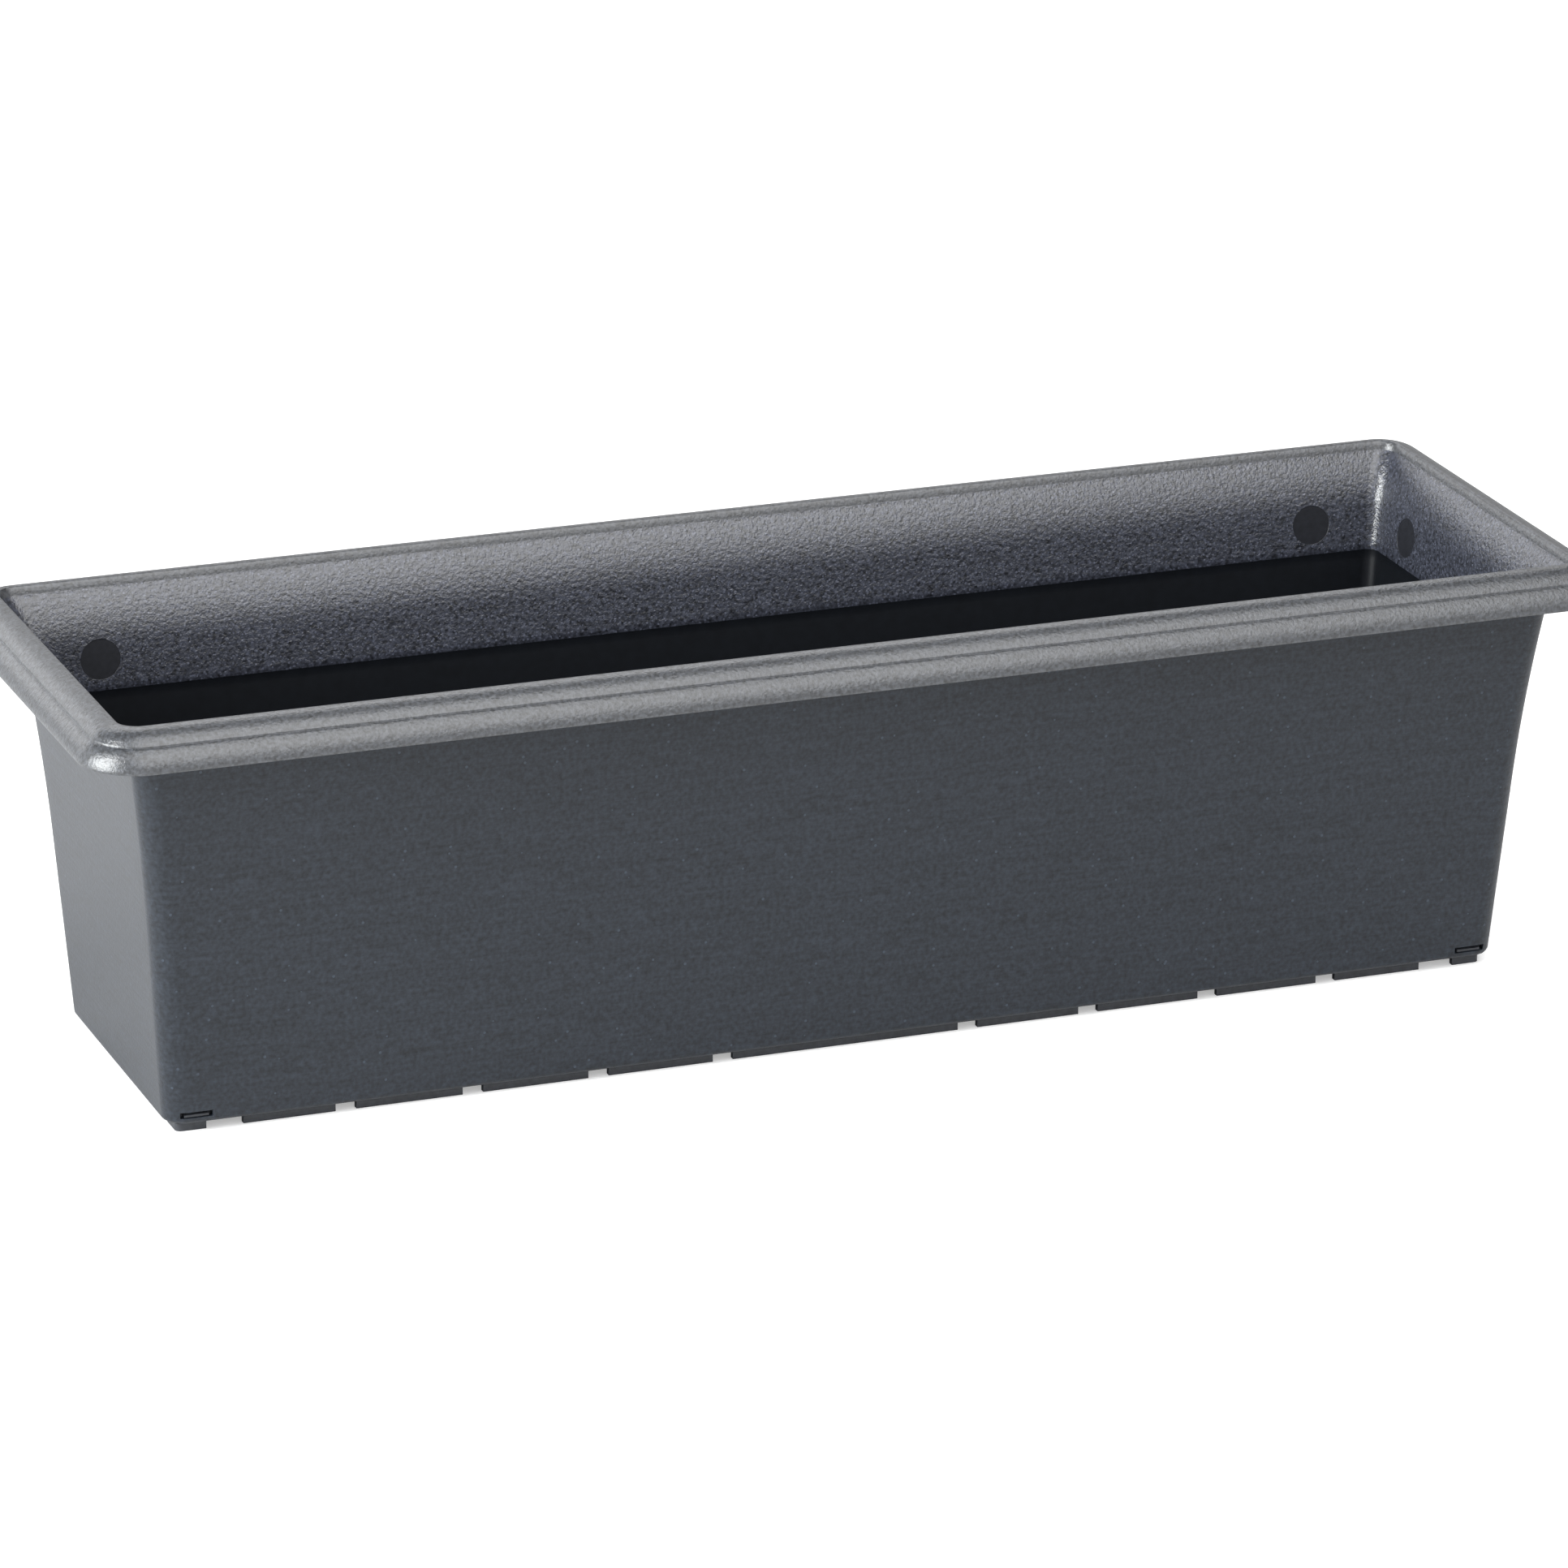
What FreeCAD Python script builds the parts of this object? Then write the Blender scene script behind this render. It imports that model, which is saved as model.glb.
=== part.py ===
import FreeCAD, Part
import math
import os

import Sketcher
from FreeCAD import Rotation, Vector

# Window box: a long drafted plastic trough with a stepped, rolled lip, standing on a
# shallow drip tray that clips in from below.
# Millimetres. X runs along the box, Y across it, Z up. The origin is on the ground,
# under the middle of the box.

doc = FreeCAD.newDocument("window_box")

# ---------------------------------------------------------------- driving sizes

sizes = [
    # overall
    ("box_length", 600.0, "lip outer face to lip outer face, along X"),
    ("box_width", 200.0, "lip outer face to lip outer face, along Y"),
    ("box_height", 166.3, "ground to the top of the lip"),
    ("stand_height", 4.0, "ground to the bottom edge of the box"),
    # moulded wall
    ("wall", 2.2, "wall thickness of the box"),
    ("overhang", 23.4, "lip outer face to wall, at the level of the lip's lower edge"),
    ("end_taper", 10.9, "how far each end wall leans in, lip edge to bottom edge"),
    ("side_taper", 11.8, "how far each long wall leans in, lip edge to bottom edge"),
    ("flare_depth", 90.3, "top of the lip down to where the wall starts to lean out more"),
    ("flare_reach", 4.0, "how far that gentle flare carries the wall by the crease"),
    ("mouth_depth", 23.2, "top of the lip down to where the tighter mouth curve starts"),
    # lip section, measured inwards from its outer face and down from its top
    ("lip_drop", 14.0, "top of the lip to its lower edge"),
    ("lip_corner", 22.6, "plan radius of the lip's outer corners"),
    ("lip_skin", 2.0, "thickness of the turned down lip"),
    ("lip_face", 4.2, "height of the upright outer face"),
    ("ledge_start", 2.4, "outer face to the outer edge of the ledge"),
    ("ledge_foot", 4.9, "outer face to the foot of the step"),
    ("ledge_drop", 6.0, "top of the lip down to the ledge"),
    ("ledge_rise", 0.2, "rise of the ledge towards the step"),
    ("step_rise", 0.9, "height of the step above the ledge"),
    ("step_run", 0.3, "lean of the step's face"),
    ("crown_inset", 14.1, "outer face to the highest line of the lip"),
    ("crest_round", 2.0, "radius of the rounded crest"),
    ("crease_drop", 3.2, "top of the lip down to the crease where the mouth begins"),
    ("underside_round", 30.0, "radius of the lip's hollow underside"),
    # floor and skirt
    ("floor_level", 22.0, "ground to the underside of the box floor"),
    ("floor_plate", 2.4, "thickness of the box floor"),
    ("floor_round", 5.0, "radius between floor and walls, inside"),
    ("skirt_edge", 2.6, "width of the bottom edge of the skirt"),
    ("skirt_draft", 0.5, "how far the skirt's inner face leans in up to the floor"),
    ("bottom_round", 2.0, "radius of the outer bottom edge"),
    ("drain_bore", 8.0, "diameter of a drainage hole"),
    # clip slots near the corners of the long walls
    ("slot_length", 12.0, "length of a slot"),
    ("slot_opening", 2.4, "height of a slot"),
    ("slot_from_end", 11.1, "end of the bottom edge to the middle of a slot"),
    ("slot_rise", 3.6, "bottom edge of the box to the middle of a slot"),
    # round pads near the inner corners
    ("pad_bore", 15.6, "diameter of a pad"),
    ("pad_corner", 28.0, "inner corner to the middle of a pad"),
    ("pad_drop", 28.8, "top of the lip down to the middle of a pad"),
    ("pad_depth", 0.35, "how deep a pad is set into the wall"),
    # drip tray
    ("tray_gap", 0.4, "running gap between the tray and the skirt"),
    ("tray_wall", 1.8, "wall thickness of the tray"),
    ("tray_plate", 2.0, "thickness of the tray floor"),
    ("tray_depth", 15.0, "bottom edge of the box to the top of the tray wall"),
    ("tray_corner", 3.0, "plan radius of the tray's outer corners"),
    ("tray_draft", 0.4, "how far the tray wall leans in up to its top"),
    # castellated foot rib under the tray
    ("foot_inset", 1.4, "tray wall to the outer face of the foot rib"),
    ("foot_wall", 2.4, "thickness of the foot rib"),
    ("foot_gap", 8.0, "length of a gap between two long feet"),
    ("last_foot", 35.3, "length of the last foot of a long side"),
    ("corner_gap", 14.1, "length of the gap beside a corner foot, long sides"),
    ("end_gap", 11.9, "length of the gap beside a corner foot, ends"),
    ("corner_foot", 11.5, "length of a corner foot, from the rib's outer corner"),
    # posts that carry the box floor
    ("post_from_end", 41.75, "end of the tray to the middle of the first post"),
    ("post_from_side", 32.8, "long side of the tray to the middle of a row of posts"),
    ("post_width", 15.0, "width of a square post"),
    ("post_wall", 1.8, "wall thickness of a post"),
    # snap lugs on the tray wall
    ("lug_length", 9.4, "length of a lug"),
    ("lug_gap", 0.3, "gap between a lug and its slot, above and below"),
    ("lug_recess", 0.7, "wall outer face to the tip of a lug"),
    ("lug_tip", 0.8, "height of the lug's tip"),
]

round_steps = 2
flare_steps = 2
mouth_steps = 3
posts_per_row = 4
feet_per_half = 4

sheet = doc.addObject("Spreadsheet::Sheet", "Sizes")
for row, (alias, value, note) in enumerate(sizes, start=1):
    sheet.set(f"A{row}", alias)
    sheet.set(f"B{row}", str(value))
    sheet.set(f"C{row}", note)
    sheet.setAlias(f"B{row}", alias)
doc.recompute()


# ---------------------------------------------------------------- derived sizes
# These are expressions over the sheet, so that they follow it.

def cell(alias):
    return f"Sizes.{alias}"


def number(expression):
    value = sheet.evalExpression(expression)
    return float(getattr(value, "Value", value))


half_length = f"{cell('box_length')} / 2"
half_width = f"{cell('box_width')} / 2"
top = cell("box_height")
bottom_edge = cell("stand_height")
lip_edge = f"({top} - {cell('lip_drop')})"
crease = f"({top} - {cell('crease_drop')})"
flare_start = f"({top} - {cell('flare_depth')})"
mouth_start = f"({top} - {cell('mouth_depth')})"
crease_inset = f"({cell('crown_inset')} + {cell('crest_round')})"
mouth_corner = f"({cell('lip_corner')} - {crease_inset})"
wall_corner = f"({mouth_corner} + {cell('wall')})"
floor_top = f"({cell('floor_level')} + {cell('floor_plate')})"
tray_floor = f"({bottom_edge} + {cell('tray_plate')})"
tray_top = f"({bottom_edge} + {cell('tray_depth')})"
slot_level = f"({bottom_edge} + {cell('slot_rise')})"
pad_level = f"({top} - {cell('pad_drop')})"


def straight_wall(half, taper, level):
    """Half the size of the box at a level, over its wall, before the flare."""
    lean = f"{cell(taper)} / ({lip_edge} - {bottom_edge})"
    return f"({half} - {cell('overhang')} - {lean} * ({lip_edge} - {level}))"


def between(low, high, step, steps):
    return f"({low} + ({high} - {low}) * {step} / {steps})"


def flared_wall(half, taper, level, in_mouth):
    """The wall's outer face: each of the two flares grows with the square of its height."""
    height = f"max({level} - {flare_start}; 0)"
    gentle = f"{cell('flare_reach')} * ({height} / ({crease} - {flare_start}))^2"
    wall_line = f"({straight_wall(half, taper, level)} + {gentle})"
    if not in_mouth:
        return wall_line
    reach = (f"({half} - {crease_inset} + {cell('wall')} - {cell('flare_reach')}"
             f" - {straight_wall(half, taper, crease)})")
    tight = f"{reach} * (({level} - {mouth_start}) / ({crease} - {mouth_start}))^2"
    return f"({wall_line} + {tight})"


skirt_half_length = f"({straight_wall(half_length, 'end_taper', bottom_edge)} - {cell('skirt_edge')})"
skirt_half_width = f"({straight_wall(half_width, 'side_taper', bottom_edge)} - {cell('skirt_edge')})"
tray_half_length = f"({skirt_half_length} - {cell('tray_gap')})"
tray_half_width = f"({skirt_half_width} - {cell('tray_gap')})"
slot_place = f"({straight_wall(half_length, 'end_taper', bottom_edge)} - {cell('slot_from_end')})"
rib_length = f"({tray_half_length} - {cell('foot_inset')})"
rib_width = f"({tray_half_width} - {cell('foot_inset')})"
long_foot_end = f"({rib_length} - {cell('corner_foot')} - {cell('corner_gap')})"
foot_pitch = (f"(({long_foot_end} - {cell('last_foot')} - {cell('foot_gap')} / 2)"
              f" / {feet_per_half})")
post_pitch = f"(({tray_half_length} - {cell('post_from_end')}) * 2 / {posts_per_row - 1})"
post_row = f"({tray_half_width} - {cell('post_from_side')})"


# ---------------------------------------------------------------- drawing helpers

def origin_plane(body, role):
    return [item for item in body.Origin.OriginFeatures if item.Role == role][0]


def new_sketch(body, name, role="XY_Plane", offset=None):
    """A sketch on one of its body's own origin planes, moved off it by an expression."""
    sketch = body.newObject("Sketcher::SketchObject", name)
    sketch.AttachmentSupport = [(origin_plane(body, role), "")]
    sketch.MapMode = "FlatFace"
    if offset:
        sketch.setExpression("AttachmentOffset.Base.z", offset)
    return sketch


def size_constraint(sketch, name, kind, where, expression):
    """A named dimension that follows an expression."""
    index = sketch.addConstraint(Sketcher.Constraint(kind, *where, number(expression)))
    sketch.renameConstraint(index, name)
    sketch.setExpression(f"Constraints.{name}", expression)


def rounded_outline(sketch, long_half, short_half, corner, tag=""):
    """A rectangle about the origin with rounded corners."""
    x, y, r = number(long_half), number(short_half), number(corner)
    quarter = math.pi / 2
    first = sketch.GeometryCount
    corners = [(x - r, -y + r, 3), (x - r, y - r, 0), (-x + r, y - r, 1), (-x + r, -y + r, 2)]
    sides = [
        (Vector(-x + r, -y, 0), Vector(x - r, -y, 0)),
        (Vector(x, -y + r, 0), Vector(x, y - r, 0)),
        (Vector(x - r, y, 0), Vector(-x + r, y, 0)),
        (Vector(-x, y - r, 0), Vector(-x, -y + r, 0)),
    ]
    for (start, end), (cx, cy, turn) in zip(sides, corners):
        sketch.addGeometry(Part.LineSegment(start, end), False)
        circle = Part.Circle(Vector(cx, cy, 0), Vector(0, 0, 1), r)
        sketch.addGeometry(Part.ArcOfCircle(circle, turn * quarter, (turn + 1) * quarter), False)
    for side in range(4):
        line = first + 2 * side
        arc = line + 1
        following = first + (2 * side + 2) % 8
        sketch.addConstraint(Sketcher.Constraint("Tangent", line, 2, arc, 1))
        sketch.addConstraint(Sketcher.Constraint("Tangent", arc, 2, following, 1))
        sketch.addConstraint(Sketcher.Constraint(("Horizontal", "Vertical")[side % 2], line))
        if side:
            sketch.addConstraint(Sketcher.Constraint("Equal", first + 1, arc))
    sketch.addConstraint(Sketcher.Constraint("Symmetric", first + 1, 3, first + 5, 3, -1, 1))
    size_constraint(sketch, f"long_half{tag}", "DistanceX", (-1, 1, first + 2, 1), long_half)
    size_constraint(sketch, f"short_half{tag}", "DistanceY", (-1, 1, first + 4, 1), short_half)
    size_constraint(sketch, f"corner{tag}", "Radius", (first + 1,), corner)


def rounded_sketch(body, name, level, long_half, short_half, corner):
    sketch = new_sketch(body, name, offset=level)
    rounded_outline(sketch, long_half, short_half, corner)
    return sketch


def place_point(sketch, name, geometry, end, across, along):
    """Fix one end of a line or arc by its two distances from the sketch's origin."""
    size_constraint(sketch, f"{name}_x", "DistanceX", (-1, 1, geometry, end), across)
    size_constraint(sketch, f"{name}_y", "DistanceY", (-1, 1, geometry, end), along)


def box_outline(sketch, left, right, low, high):
    """A plain rectangle between four distances from the sketch's origin."""
    x0, x1, y0, y1 = number(left), number(right), number(low), number(high)
    first = sketch.GeometryCount
    points = [Vector(x0, y0, 0), Vector(x1, y0, 0), Vector(x1, y1, 0), Vector(x0, y1, 0)]
    for side in range(4):
        sketch.addGeometry(Part.LineSegment(points[side], points[(side + 1) % 4]), False)
    for side in range(4):
        following = first + (side + 1) % 4
        sketch.addConstraint(Sketcher.Constraint("Coincident", first + side, 2, following, 1))
        sketch.addConstraint(Sketcher.Constraint(("Horizontal", "Vertical")[side % 2], first + side))
    place_point(sketch, f"near{first}", first, 1, left, low)
    place_point(sketch, f"far{first}", first + 2, 1, right, high)


def circle_sketch(body, name, level, across, along, diameter):
    sketch = new_sketch(body, name, offset=level)
    middle = Vector(number(across), number(along), 0)
    sketch.addGeometry(Part.Circle(middle, Vector(0, 0, 1), number(diameter) / 2), False)
    size_constraint(sketch, "across", "DistanceX", (-1, 1, 0, 3), across)
    size_constraint(sketch, "along", "DistanceY", (-1, 1, 0, 3), along)
    size_constraint(sketch, "diameter", "Diameter", (0,), diameter)
    return sketch


def loft(body, kind, name, sketches):
    feature = body.newObject(f"PartDesign::{kind}Loft", name)
    feature.Profile = sketches[0]
    feature.Sections = sketches[1:]
    feature.Ruled = True
    doc.recompute()
    return feature


def pad(body, name, sketch, length):
    feature = body.newObject("PartDesign::Pad", name)
    feature.Profile = sketch
    feature.setExpression("Length", length)
    doc.recompute()
    return feature


def cut_up(body, name, sketch, depth):
    """A pocket that runs upwards from its sketch."""
    before = body.Shape.Volume
    feature = body.newObject("PartDesign::Pocket", name)
    feature.Profile = sketch
    feature.Reversed = True
    feature.setExpression("Length", depth)
    doc.recompute()
    if body.Shape.Volume >= before:
        raise RuntimeError(f"{name} cuts nothing")
    return feature


def mirrored(body, name, originals, role):
    feature = body.newObject("PartDesign::Mirrored", name)
    feature.Originals = originals
    feature.MirrorPlane = (origin_plane(body, role), [""])
    body.Tip = feature
    doc.recompute()
    return feature


def both_ways(body, name, originals):
    """Copies of features in all four quarters of the plan."""
    feature = body.newObject("PartDesign::MultiTransform", name)
    feature.Originals = originals
    steps = []
    for role in ("YZ_Plane", "XZ_Plane"):
        step = body.newObject("PartDesign::Mirrored", f"{name}_{role[:2].lower()}")
        step.MirrorPlane = (origin_plane(body, role), [""])
        steps.append(step)
    feature.Transformations = steps
    body.Tip = feature
    doc.recompute()
    return feature


# ---------------------------------------------------------------- planter box

def wall_sections(body, name, low_level, thickness, edge_round):
    """Outlines of the wall from a level up to the crease, thickness in from its outer face.

    The first outlines follow a quarter round at the foot of the wall."""
    corner = f"{wall_corner} - {thickness}"

    def outline(label, level, inset, in_mouth=False):
        return rounded_sketch(
            body, label, level,
            f"{flared_wall(half_length, 'end_taper', level, in_mouth)} - {inset}",
            f"{flared_wall(half_width, 'side_taper', level, in_mouth)} - {inset}", corner)

    sketches = []
    for step in range(round_steps + 1):
        turn = f"90 deg * {step} / {round_steps}"
        level = f"({low_level} + {edge_round} * (1 - cos({turn})))"
        inset = f"({thickness} + {edge_round} * (1 - sin({turn})))"
        sketches.append(outline(f"{name}_round_{step}", level, inset))
    for step in range(flare_steps + 1):
        level = between(flare_start, mouth_start, step, flare_steps)
        sketches.append(outline(f"{name}_wall_{step}", level, thickness))
    for step in range(1, mouth_steps + 1):
        level = between(mouth_start, crease, step, mouth_steps)
        sketches.append(outline(f"{name}_mouth_{step}", level, thickness, True))
    return sketches


def lip_section(body):
    """Section of the turned down lip, in the plane across the middle of the front wall."""
    sketch = new_sketch(body, "lip_section", "YZ_Plane")
    ledge = f"({top} - {cell('ledge_drop')})"
    crest_low = f"({top} - {cell('crest_round')})"
    # inset from the outer face, level
    corners = [
        ("0", lip_edge),
        ("0", f"{lip_edge} + {cell('lip_face')}"),
        (cell("ledge_start"), ledge),
        (cell("ledge_foot"), f"{ledge} + {cell('ledge_rise')}"),
        (f"{cell('ledge_foot')} + {cell('step_run')}",
         f"{ledge} + {cell('ledge_rise')} + {cell('step_rise')}"),
        (cell("crown_inset"), top),
        (crease_inset, crest_low),
        (crease_inset, crease),
        (f"{crease_inset} - {cell('wall')} / 3", f"{crease} - {cell('wall')}"),
        (f"{cell('crown_inset')} - {cell('lip_skin')}", f"{top} - {cell('lip_skin')}"),
        (cell("lip_skin"), f"{lip_edge} + {cell('lip_face')}"),
        (cell("lip_skin"), lip_edge),
    ]
    places = [(f"{inset} - {half_width}", level) for inset, level in corners]
    points = [Vector(number(across), number(level), 0) for across, level in places]

    def bulged(start, end, radius, side):
        """An arc of a radius through two points, with its centre to one side of the chord."""
        chord = end - start
        middle = (start + end) * 0.5
        square = Vector(-chord.y, chord.x, 0).normalize()
        reach = math.sqrt(radius * radius - chord.Length ** 2 / 4)
        centre = middle + square * side * reach
        through = centre + (middle - centre).normalize() * radius
        return Part.Arc(start, through, end)

    def tangent_radius(start, end, upright):
        """Radius of the arc that leaves start upright, or reaches end level."""
        run, rise = abs(end.x - start.x), abs(end.y - start.y)
        straight = run if upright else rise
        return (run * run + rise * rise) / (2 * straight)

    face_radius = tangent_radius(points[1], points[2], True)
    crown_radius = tangent_radius(points[4], points[5], False)
    arcs = {
        1: (face_radius, -1),
        4: (crown_radius, -1),
        5: (number(cell("crest_round")), -1),
        9: (number(cell("underside_round")), 1),
    }
    count = len(points)
    for index in range(count):
        start, end = points[index], points[(index + 1) % count]
        if index in arcs:
            sketch.addGeometry(bulged(start, end, *arcs[index]), False)
        else:
            sketch.addGeometry(Part.LineSegment(start, end), False)
    # a three-point arc always runs anticlockwise, so its ends may be swapped
    ends = {}
    for index in range(count):
        start_first = (sketch.getPoint(index, 1) - points[index]).Length < 0.001
        ends[index] = (1, 2) if start_first else (2, 1)
    for index in range(count):
        following = (index + 1) % count
        sketch.addConstraint(Sketcher.Constraint("Coincident", index, ends[index][1],
                                                 following, ends[following][0]))
        place_point(sketch, f"corner{index}", index, ends[index][0], *places[index])
    sketch.addConstraint(Sketcher.Constraint("Horizontal", 1, 3, 1, ends[1][0]))
    sketch.addConstraint(Sketcher.Constraint("Vertical", 4, 3, 4, ends[4][1]))
    sketch.addConstraint(Sketcher.Constraint("Vertical", 5, 3, 5, ends[5][0]))
    size_constraint(sketch, "underside", "Radius", (9,), cell("underside_round"))
    return sketch


def cut_drains(body):
    """Drainage holes through the floor, midway between the posts that carry it."""
    level = cell("floor_level")
    hole = circle_sketch(body, "drain_outline", level, "0", post_row, cell("drain_bore"))
    first = cut_up(body, "drain", hole, cell("floor_plate"))
    row = body.newObject("PartDesign::LinearPattern", "drain_row")
    row.Direction = (hole, ["H_Axis"])
    row.Occurrences = int(posts_per_row / 2)
    row.setExpression("Length", f"{post_pitch} * ({row.Occurrences} - 1)")
    drains = body.newObject("PartDesign::MultiTransform", "drains")
    mirrors = []
    for role in ("YZ_Plane", "XZ_Plane"):
        mirror = body.newObject("PartDesign::Mirrored", f"drains_{role[:2].lower()}")
        mirror.MirrorPlane = (origin_plane(body, role), [""])
        mirrors.append(mirror)
    drains.Originals = [first]
    drains.Transformations = [row] + mirrors
    body.Tip = drains
    doc.recompute()


def cut_slots(body):
    """Clip slots through the skirt, near both ends of both long walls."""
    sketch = new_sketch(body, "slot_outline", "XZ_Plane")
    left = f"{slot_place} - {cell('slot_length')} / 2"
    low = f"{slot_level} - {cell('slot_opening')} / 2"
    box_outline(sketch, left, f"{left} + {cell('slot_length')}", low,
                f"{low} + {cell('slot_opening')}")
    before = body.Shape.Volume
    slot = body.newObject("PartDesign::Pocket", "slot")
    slot.Profile = sketch
    slot.Midplane = True
    slot.setExpression("Length", cell("box_width"))
    doc.recompute()
    if body.Shape.Volume >= before:
        raise RuntimeError("the slots cut nothing")
    mirrored(body, "slots", [slot], "YZ_Plane")


def cut_pads(body):
    """Flat round pads set square into the inside of the walls, two near each corner."""
    inner_length = f"({flared_wall(half_length, 'end_taper', pad_level, False)} - {cell('wall')})"
    inner_width = f"({flared_wall(half_width, 'side_taper', pad_level, False)} - {cell('wall')})"
    reach = cell("pad_corner")
    places = [
        ("side_pad", "side_taper", f"({inner_length} - {reach})", inner_width, Vector(-1, 0, 0)),
        ("end_pad", "end_taper", inner_length, f"({inner_width} - {reach})", Vector(0, 1, 0)),
    ]
    for name, taper, across, along, axis in places:
        lean = (f"atan({cell(taper)} / ({lip_edge} - {bottom_edge}) + 2 * {cell('flare_reach')}"
                f" * ({pad_level} - {flare_start}) / ({crease} - {flare_start})^2)")
        # the cutter starts inside the box, so only its end bites into the wall
        run = f"({cell('pad_bore')} - {cell('pad_depth')})"
        back = f"{run} * cos({lean})"
        tool = body.newObject("PartDesign::SubtractiveCylinder", name)
        tool.setExpression("Radius", f"{cell('pad_bore')} / 2")
        tool.setExpression("Height", cell("pad_bore"))
        tool.Placement.Rotation = Rotation(axis, 90)
        tool.setExpression("Placement.Base.x", f"{across} - {back}" if axis.y else across)
        tool.setExpression("Placement.Base.y", f"{along} - {back}" if axis.x else along)
        tool.setExpression("Placement.Base.z", f"{pad_level} + {run} * sin({lean})")
        tool.setExpression("Placement.Rotation.Angle", f"90 deg + {lean}")
        doc.recompute()
        both_ways(body, f"{name}s", [tool])


def build_planter_box():
    body = doc.addObject("PartDesign::Body", "planter_box")
    body.Label = "planter_box"
    loft(body, "Additive", "wall_block", wall_sections(body, "outer", bottom_edge, "0",
                                                       cell("bottom_round")))

    # the hollow is open at the top, so its last outline is repeated above the crease
    hollow = wall_sections(body, "inner", floor_top, cell("wall"), cell("floor_round"))
    hollow.append(rounded_sketch(body, "inner_open", f"{top} + {cell('wall')}",
                                 f"{half_length} - {crease_inset}",
                                 f"{half_width} - {crease_inset}", mouth_corner))
    loft(body, "Subtractive", "hollow", hollow)

    lip = body.newObject("PartDesign::AdditivePipe", "lip")
    lip.Profile = lip_section(body)
    path = rounded_sketch(body, "lip_path", lip_edge, half_length, half_width, cell("lip_corner"))
    doc.recompute()
    lip.Spine = (path, [f"Edge{index + 1}" for index in range(8)])
    doc.recompute()

    skirt_corner = f"{cell('tray_corner')} + {cell('tray_gap')}"
    skirt = [
        rounded_sketch(body, "skirt_mouth", bottom_edge, skirt_half_length, skirt_half_width,
                       skirt_corner),
        rounded_sketch(body, "skirt_ceiling", cell("floor_level"),
                       f"{skirt_half_length} - {cell('skirt_draft')}",
                       f"{skirt_half_width} - {cell('skirt_draft')}", skirt_corner),
    ]
    loft(body, "Subtractive", "skirt", skirt)
    cut_drains(body)
    cut_slots(body)
    cut_pads(body)
    return body


# ---------------------------------------------------------------- drip tray

def foot_ring(body):
    """The rib that the tray stands on, cut into separate feet along all four sides."""
    ring = new_sketch(body, "foot_ring_outline")
    inset = cell("foot_inset")
    rounded_outline(ring, f"{tray_half_length} - {inset}", f"{tray_half_width} - {inset}",
                    f"{cell('tray_corner')} - {inset} / 2")
    inset = f"({inset} + {cell('foot_wall')})"
    rounded_outline(ring, f"{tray_half_length} - {inset}", f"{tray_half_width} - {inset}",
                    f"{cell('tray_corner')} / 3", "_inner")
    pad(body, "foot_ring", ring, bottom_edge)

    half_gap = f"{cell('foot_gap')} / 2"
    # gaps along the long sides, cut through both ribs at once
    gap = new_sketch(body, "long_gap_outline")
    box_outline(gap, f"{foot_pitch} - {half_gap}", f"{foot_pitch} + {half_gap}",
                f"-{half_width}", half_width)
    first = cut_up(body, "long_gap", gap, bottom_edge)
    row = body.newObject("PartDesign::LinearPattern", "long_gap_row")
    row.Direction = (gap, ["H_Axis"])
    row.Occurrences = int(feet_per_half)
    row.setExpression("Length", f"{foot_pitch} * ({feet_per_half} - 1)")
    mirror = body.newObject("PartDesign::Mirrored", "long_gap_mirror")
    mirror.MirrorPlane = (origin_plane(body, "YZ_Plane"), [""])
    gaps = body.newObject("PartDesign::MultiTransform", "long_gaps")
    gaps.Originals = [first]
    gaps.Transformations = [row, mirror]
    body.Tip = gaps
    doc.recompute()
    # wider gaps on both sides of each corner foot
    beside = new_sketch(body, "corner_gap_outline")
    box_outline(beside, long_foot_end, f"{rib_length} - {cell('corner_foot')}",
                f"-{half_width}", half_width)
    mirrored(body, "corner_gaps", [cut_up(body, "corner_gap", beside, bottom_edge)], "YZ_Plane")
    end = new_sketch(body, "end_gap_outline")
    corner = f"({rib_width} - {cell('corner_foot')})"
    box_outline(end, f"-{half_length}", half_length, f"{corner} - {cell('end_gap')}", corner)
    mirrored(body, "end_gaps", [cut_up(body, "end_gap", end, bottom_edge)], "XZ_Plane")


def post_sketch(body, name, width):
    """A square about the axis of the first post."""
    sketch = new_sketch(body, name)
    middle = f"{post_pitch} / 2"
    box_outline(sketch, f"{middle} - {width} / 2", f"{middle} + {width} / 2",
                f"{post_row} - {width} / 2", f"{post_row} + {width} / 2")
    return sketch


def posts(body):
    """Hollow posts, open below, that stand on the ground and carry the box floor."""
    outline = post_sketch(body, "post_outline", cell("post_width"))
    post = pad(body, "post", outline, cell("floor_level"))
    core = post_sketch(body, "post_core", f"({cell('post_width')} - 2 * {cell('post_wall')})")
    bore = cut_up(body, "post_bore", core, f"{cell('floor_level')} - {cell('post_wall')}")
    row = body.newObject("PartDesign::LinearPattern", "post_line")
    row.Direction = (outline, ["H_Axis"])
    row.Occurrences = int(posts_per_row / 2)
    row.setExpression("Length", f"{post_pitch} * ({row.Occurrences} - 1)")
    mirrors = []
    for role in ("YZ_Plane", "XZ_Plane"):
        mirror = body.newObject("PartDesign::Mirrored", f"posts_{role[:2].lower()}")
        mirror.MirrorPlane = (origin_plane(body, role), [""])
        mirrors.append(mirror)
    every_post = body.newObject("PartDesign::MultiTransform", "posts")
    every_post.Originals = [post, bore]
    every_post.Transformations = [row] + mirrors
    body.Tip = every_post
    doc.recompute()


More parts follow.
